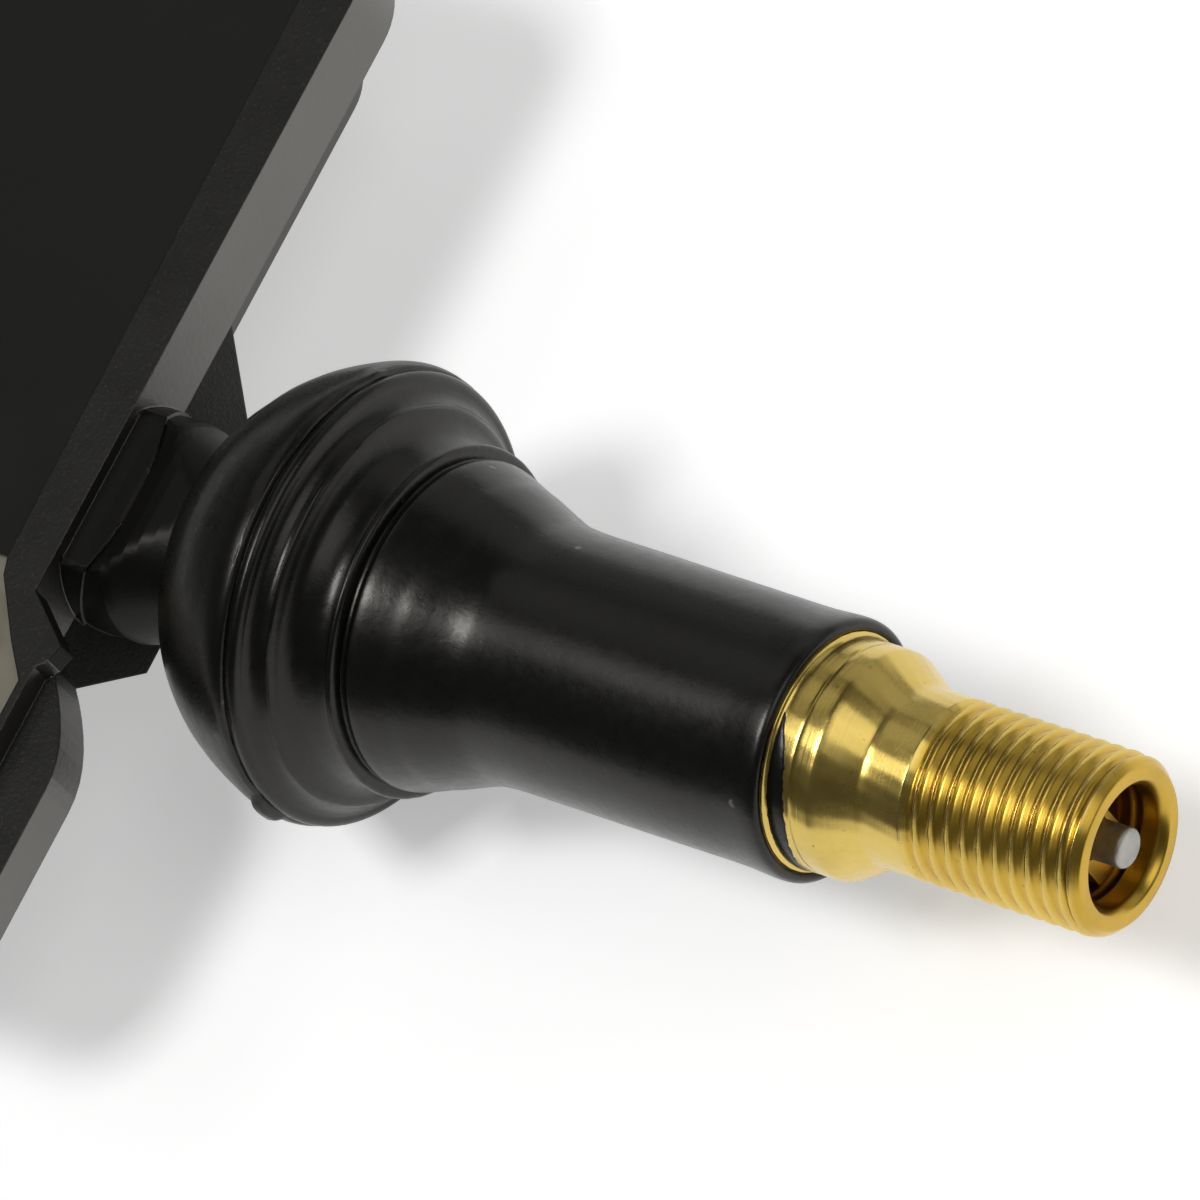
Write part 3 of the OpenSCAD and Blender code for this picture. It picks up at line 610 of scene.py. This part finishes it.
def rim_material():
    """The eroded finish of the rim and of the block's face, with fine pale grain."""
    s = Shader("rim_plastic")
    s.set(Roughness=0.42, IOR=1.48, Specular_IOR_Level=0.48, Specular_Tint=WARM)
    cloud = s.noise(260.0, 5.0, 0.7)
    grain = s.noise(5200.0, 3.0, 0.7)
    tone = s.ramp(cloud, clouds((0.0050, 0.0049, 0.0040), 0.8, 1.5))
    speck = s.ramp(grain, [(0.0, 0.0), (0.60, 0.0), (0.72, 1.0)])
    s.colour(s.mix(speck, tone, (0.035, 0.034, 0.030)))
    s.rough(s.span(cloud, 0.3, 0.7, 0.36, 0.5))
    s.bump([(cloud, 0.03), (grain, 0.022)], bevel=0.12)
    return s.mat


def resin_material():
    """Cast resin with a wavy top."""
    s = Shader("cast_resin")
    s.set(Roughness=0.12, Subsurface_Weight=0.15, Subsurface_Scale=0.002, IOR=1.5)
    cloud = s.noise(140.0, 5.0)
    s.colour(s.ramp(cloud, clouds((0.24, 0.22, 0.165), 0.85, 1.1)))
    s.rough(s.span(cloud, 0.3, 0.7, 0.06, 0.12))
    s.bump([(s.noise(110.0, 2.0), 0.8)])
    return s.mat


def dress(node, material):
    mesh = nodes[node].data
    mesh.materials.clear()
    mesh.materials.append(material)
    for p in mesh.polygons:
        p.material_index = 0


def housing_finish(center, normal):
    """Which of the housing's materials a face has: 0 plain, 1 dull on the neck and in the corner
    of the block, with its darker colour there as painted shade, 2 eroded on the rim's top and the
    faces that lean forward."""
    x, y, z = (c / MM for c in center)
    on_neck = JUST_PAST_WALL_X < x < -10 and math.hypot(y, z) < 5.3 and normal.x < 0.9
    # Painted shade: the block's deep corner takes the darker neck plastic
    shaded_corner = -14.4 < x < -13 and -8.6 < y < -7 and z > 2.7 and normal.x > 0.9
    if on_neck or shaded_corner:
        return 1
    return 2 if normal.z > 0.9 or (normal.x > 0.85 and normal.z > 0.2) else 0


stem.data.materials.append(brass("brass_turned", BRASS, 0.25))
rubber.data.materials.append(rubber_material())
skin.data.materials.append(rubber.data.materials[0])
housing.data.materials.clear()
for material in (housing_material(), neck_and_corner_shade_material(), rim_material()):
    housing.data.materials.append(material)
for p in housing.data.polygons:
    p.material_index = housing_finish(p.center, p.normal)
dress("potting", resin_material())
# The valve core lies inside 3.66 mm, so all of it takes the painted shade colour of the thread's
# roots
core_brass = brass("core_brass", CORE_BRASS, 0.28)
for node in ("core_plug", "core_barrel", "core_cup"):
    dress(node, core_brass)

# The other nodes, as (node, material, colour, roughness, what else the finish needs)
PLAIN = [
    ("cover_plate", "cover_plastic", (0.0065, 0.0062, 0.0048), 0.28,
     {"grain": 500, "depth": 0.004, "bevel": 0.1, "level": 0.3}),
    ("core_gasket", "seal_white", (0.78, 0.77, 0.73), 0.4, {}),
    ("port_filter", "filter_white", (0.80, 0.79, 0.76), 0.8, {"grain": 2500, "depth": 0.03}),
    ("cup_seal", "seal_black", (0.02, 0.02, 0.02), 0.5, {}),
    ("core_pin", "pin_metal", (0.40, 0.39, 0.36), 0.5,
     {"metal": 1.0, "grain": 2500, "spread": 0.3, "depth": 0.02, "bevel": 0.06}),
    ("core_spring", "spring_wire", (0.46, 0.46, 0.45), 0.3, {"metal": 1.0}),
    ("retaining_screw", "screw_plating_retaining_screw", (0.60, 0.60, 0.58), 0.25,
     {"metal": 1.0, "bevel": 0.08}),
    ("screw_washer", "screw_plating_screw_washer", (0.60, 0.60, 0.58), 0.25,
     {"metal": 1.0, "bevel": 0.08}),
    ("circuit_board", "board_mask", (0.015, 0.11, 0.04), 0.3, {"coat": 0.3}),
    ("coin_cell", "cell_plating", (0.60, 0.60, 0.59), 0.28, {"metal": 1.0}),
    ("positive_strip", "tinned_positive_strip", (0.64, 0.62, 0.57), 0.3, {"metal": 1.0}),
    ("negative_strip", "tinned_negative_strip", (0.64, 0.62, 0.57), 0.3, {"metal": 1.0}),
    ("rf_antenna", "tinned_rf_antenna", (0.64, 0.62, 0.57), 0.3, {"metal": 1.0}),
    ("sensor_chip", "chip_black", (0.02, 0.02, 0.022), 0.5, {}),
    ("port_grommet", "silicone_grey", (0.28, 0.29, 0.29), 0.5, {}),
    ("coil_core", "ferrite_dark", (0.05, 0.047, 0.045), 0.5, {}),
    ("coil_winding", "winding_copper", (0.42, 0.16, 0.06), 0.3, {"metal": 0.6}),
    ("crystal", "crystal_metal", (0.62, 0.62, 0.60), 0.28, {"metal": 1.0}),
    ("capacitors", "ceramic_tan", (0.42, 0.30, 0.18), 0.5, {}),
    ("resistors", "resistor_black", (0.02, 0.02, 0.022), 0.4, {}),
    ("radio_filter", "ceramic_white", (0.70, 0.66, 0.56), 0.4, {})]
for node, name, base, rough, more in PLAIN:
    dress(node, plain(name, base, rough, **more))

# The spring of the valve core, copied into an object of its own; in the valve the pin presses it
# together towards its seat in the barrel

coil = add_object("wound_spring", nodes["core_spring"].data.copy())
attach(coil, "sensor")
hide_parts("core_spring")
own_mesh(coil)

# Studio: a pale floor, a grey room, and five soft lamps

FLOOR_RADIUS = 3000
FLOOR_GAP = 0.02
FLOOR_GLOW = 0.42
ROOM_GREY = (0.068, 0.068, 0.066, 1)
LAMPS_AIM = Vector((10.0, 0.0, 0.0)) * MM
# Name, direction from the aim, distance in metres, size in metres, watts
LAMPS = [
    ("key_lamp", (-0.17, -0.26, 0.95), 0.9, (0.24, 0.24), 3.4),
    ("back_panel", (-0.53, -0.15, 0.84), 1.1, (0.30, 0.24), 0.45),
    ("front_lamp", (0.62, 0.15, 0.77), 1.1, (0.7, 0.7), 2.2),
    ("side_panel", (0.05, 0.86, 0.36), 1.2, (1.8, 0.6), 1.4),
    ("top_panel", (-0.56, 0.42, 0.71), 1.1, (0.5, 0.55), 0.38)]


def studio_floor():
    """A pale disc that shows as white to the camera and in reflections, and keeps shadows."""
    mesh = bpy.data.meshes.new("studio_floor")
    work = bmesh.new()
    bmesh.ops.create_circle(work, cap_ends=True, segments=96, radius=FLOOR_RADIUS * MM)
    work.to_mesh(mesh)
    work.free()
    s = Shader("floor_paper")
    s.set(Roughness=0.9, Specular_IOR_Level=0.2, Emission_Color=(1, 1, 1, 1))
    s.colour(s.ramp(s.noise(3.0, 2.0), [(0.3, 0.92), (0.7, 0.95)]))
    rays = s.add("ShaderNodeLightPath").outputs
    seen = s.math("MAXIMUM", rays["Is Camera Ray"], rays["Is Glossy Ray"])
    seen = s.math("MAXIMUM", seen, rays["Is Transmission Ray"])
    s.link(s.math("MULTIPLY", seen, FLOOR_GLOW), s.bsdf.inputs["Emission Strength"])
    mesh.materials.append(s.mat)
    return add_object("studio_floor", mesh)


floor = studio_floor()
floor.location = (0, 0, cad_box[0][2] - FLOOR_GAP * MM)

scene.world = bpy.data.worlds.new("room")
scene.world.use_nodes = True
room = scene.world.node_tree.nodes["Background"].inputs
room["Color"].default_value = ROOM_GREY
room["Strength"].default_value = 1.0

for name, direction, distance, size, watts in LAMPS:
    lamp = bpy.data.lights.new(name, "AREA")
    lamp.shape = "RECTANGLE"
    lamp.size, lamp.size_y = size
    lamp.energy = watts
    offset = Vector(direction) * distance
    holder = add_object(name, lamp)
    holder.location = LAMPS_AIM + offset
    holder.rotation_euler = (-offset).to_track_quat("-Z", "Y").to_euler()

# Camera at the photograph's viewing angle

CAMERA_RIGHT = (0.79264, 0.44918, -0.41226)
CAMERA_UP = (-0.25754, 0.85957, 0.44137)
CAMERA_BACK = (0.55262, -0.24367, 0.79702)
CAMERA_PLACE = Vector((237.606, -98.424, 331.995))
lens = bpy.data.cameras.new("photo_camera")
lens.sensor_width = 36.0
lens.lens = 298.8
lens.clip_start = 0.01
lens.clip_end = 20.0
camera = add_object("photo_camera", lens)
tilt = Matrix((CAMERA_RIGHT, CAMERA_UP, CAMERA_BACK)).transposed().to_4x4()
camera.matrix_world = Matrix.Translation(CAMERA_PLACE * MM) @ tilt
scene.camera = camera

scene.view_settings.view_transform = "Standard"
